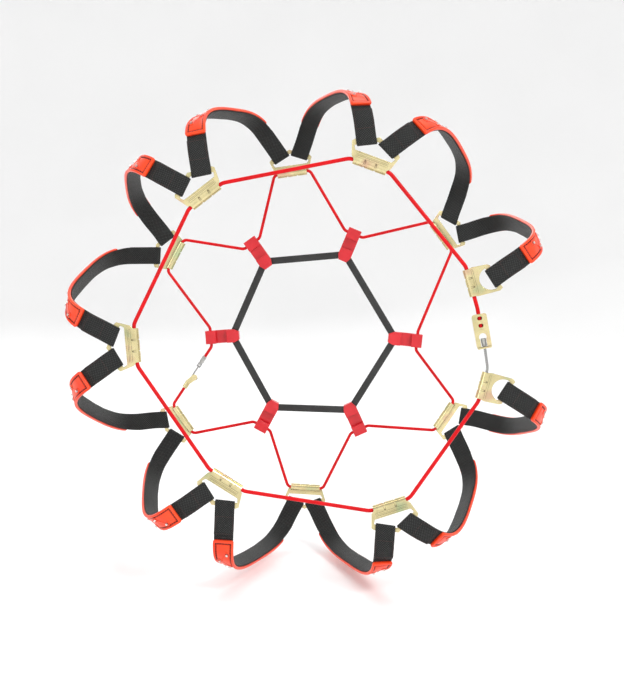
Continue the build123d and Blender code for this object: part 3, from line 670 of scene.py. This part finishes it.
def pad(number, frames):
    """One tread: raised border, two stitched channels and a field of studded bosses."""
    mesh = bmesh.new()
    ends = [0.0, 0.15, 0.5, 1.2, 2.2, 3.1, 3.6, 4.0, 5.5, 5.9, 7.0]
    stops = list(ends)
    place = 11.0
    while place < PAD_LENGTH - 9.0:
        stops.append(place)
        place += 4.0
    stops += [PAD_LENGTH - s for s in reversed(ends)]
    rows = []
    for s in stops:
        away = min(s, PAD_LENGTH - s)
        corner = (CORNER ** 2 - max(CORNER - away, 0.0) ** 2) ** 0.5
        half = PAD_WIDTH / 2 - CORNER + corner
        rim_share = min(max((BORDER - away) / 0.5, 0.0), 1.0)
        dip = min(max((away - BORDER) / 0.4, 0.0), max((GROOVE_END - away) / 0.4, 0.0), 1.0)
        drop = 0.9 * max(1 - away, 0.0) ** 2
        row = []
        for side, height in PROFILE:
            side = side * half / (PAD_WIDTH / 2)
            if height > PAD_BOTTOM + 0.6:
                raised = RIM if abs(side) < half - 0.5 else height
                height = height * (1 - rim_share) + raised * rim_share
                if abs(side) < 9.0 and height > CHANNEL:
                    height -= (height - CHANNEL) * dip
                height -= drop
            row.append(spot(frames, BARE + s, side, height))
        rows.append(row)
    skin(mesh, rows)
    spots = []
    for index in range(BOSSES):
        along = BARE + PAD_LENGTH / 2 + (index - BOSSES // 2) * BOSS_PITCH
        spots.append((along, BOSS_SIDE if index % 2 else -BOSS_SIDE))
    for along, side in spots:
        rings = []
        for radius, height in BOSS_PROFILE:
            ring = []
            for k in range(20):
                turn = 2 * pi * k / 20
                reach = along + radius * cos(turn)
                ring.append(spot(frames, reach, side + radius * sin(turn), height))
            rings.append(ring)
        skin(mesh, rings)
    # A low bar moulded between neighbouring bosses, as a lattice.
    for along, side in spots[:-1]:
        size = hypot(BOSS_PITCH, 2 * side)
        flank_s, flank_u = 2 * side / size, BOSS_PITCH / size
        rows = []
        for step in range(7):
            share = 0.22 + 0.56 * step / 6
            s, u = along + BOSS_PITCH * share, side - 2 * side * share
            rows.append([spot(frames, s + flank_s * w, u + flank_u * w, h)
                         for w, h in LATTICE_PROFILE])
        skin(mesh, rows)
    thing = finish_piece(f"tread_{number:02d}", mesh, TREAD)
    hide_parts(f"tread_pad_{number:02d}")
    seam = bmesh.new()
    for side in (-9.45, 9.45):
        s = 4.2
        while s < PAD_LENGTH - 6.5:
            thread(seam, frames, (BARE + s, side), (BARE + s + STITCH_LENGTH, side),
                   STITCH_HEIGHT, STITCH_RADIUS)
            s += 3.7
    for s in (4.6, PAD_LENGTH - 4.6):
        for k in range(5):
            side = -8.6 + 3.55 * k
            thread(seam, frames, (BARE + s, side), (BARE + s, side + STITCH_LENGTH),
                   STITCH_HEIGHT, STITCH_RADIUS)
    finish_piece(f"tread_stitches_{number:02d}", seam, THREAD)


for number, frames in enumerate(all_frames, 1):
    pad(number, frames)

# ------------------------------------------------------------------ tension ring

BEND = 12.0          # radius of the band's middle line at a hook
BAND_REACH = 34.3    # cable in the hook to the middle of the band
RUN_STEPS = 9
BAND_PROFILE = [(-5, -1.2), (-5, 1.2), (-4.6, 1.8), (-3.8, 2.0), (-1.2, 2.0), (-0.6, 1.75),
                (0.6, 1.75), (1.2, 2.0), (3.8, 2.0), (4.6, 1.8), (5, 1.2), (5, -1.2),
                (4.6, -1.8), (3.8, -2.0), (-3.8, -2.0), (-4.6, -1.8)]
corners = []
for angle, radius in HOOKS:
    reach = radius - BAND_REACH + BEND * (1 / cos(radians(30)) - 1)
    corners.append(radial(angle) * reach)


def ring_points(index):
    """Middle line from the midpoint before a hook to the midpoint after it."""
    here, before, after = corners[index], corners[index - 1], corners[(index + 1) % len(corners)]
    way_in, way_out = (here - before).normalized(), (after - here).normalized()
    turn = way_in.angle(way_out)
    cut = BEND * tan(turn / 2)
    centre = here + (way_out - way_in).normalized() * (BEND / cos(turn / 2))
    start, finish = here - way_in * cut, here + way_out * cut
    points = []
    first = (before + here) / 2
    for step in range(RUN_STEPS):
        points.append(first.lerp(start, step / RUN_STEPS))
    for step in range(RUN_STEPS):
        share = step / (RUN_STEPS - 1)
        arm = (start - centre).lerp(finish - centre, share).normalized() * BEND
        points.append(centre + arm)
    last = (after + here) / 2
    for step in range(1, RUN_STEPS + 1):
        points.append(finish.lerp(last, step / RUN_STEPS))
    return points


def band(points, name):
    """Half a hook's share of the ring, from the middle of a run to the hook."""
    mesh = bmesh.new()
    rows = []
    for k, point in enumerate(points):
        way = (points[min(k + 1, len(points) - 1)] - points[max(k - 1, 0)]).normalized()
        out = way.cross(Vector((0, 1, 0))).normalized()
        row = []
        for side, lift in BAND_PROFILE:
            row.append((point + out * side + Vector((0, CABLE_Y + lift, 0))) * MM)
        rows.append(row)
    skin(mesh, rows)
    thing = finish_piece(name, mesh, RUBBER, body=None)
    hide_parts("tension_ring")
    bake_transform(thing)


# Each hook's share of the ring is made as two halves, which meet at the middle of the bend round
# the hook.
height = Vector((0, CABLE_Y, 0))
for index in range(len(HOOKS)):
    points = ring_points(index)
    half = len(points) // 2
    for side, part in (("a", points[:half + 1]), ("b", points[half:][::-1])):
        band(part, f"ring_{index + 1}{side}")

# ------------------------------------------------------------------ finger ridges on the hooks

HOOK_FACE = CABLE_Y + 6.0
RIDGE_HALF = 7.2
RIDGE_STEPS = (-33.5, -30.0, -26.5, -23.0, -12.0, -8.5)
for index, (angle, radius) in enumerate(HOOKS, 1):
    mesh = bmesh.new()
    for inward in RIDGE_STEPS:
        rows = []
        for step in range(11):
            share = step / 5 - 1
            full = max(1 - share ** 6, 0.03) ** 0.5
            row = []
            for turn in (0, 30, 60, 90, 120, 150, 180):
                lift = 0.75 * full * sin(radians(turn)) - (0.3 if turn in (0, 180) else 0.0)
                reach = radius + inward + 0.95 * full * cos(radians(turn))
                row.append((radial(angle) * reach + around(angle) * RIDGE_HALF * share
                            + Vector((0, HOOK_FACE + lift, 0))) * MM)
            rows.append(row)
        skin(mesh, rows)
    finish_piece(f"hook_ridges_{index}", mesh, HOOK, body=f"hook_{index}")
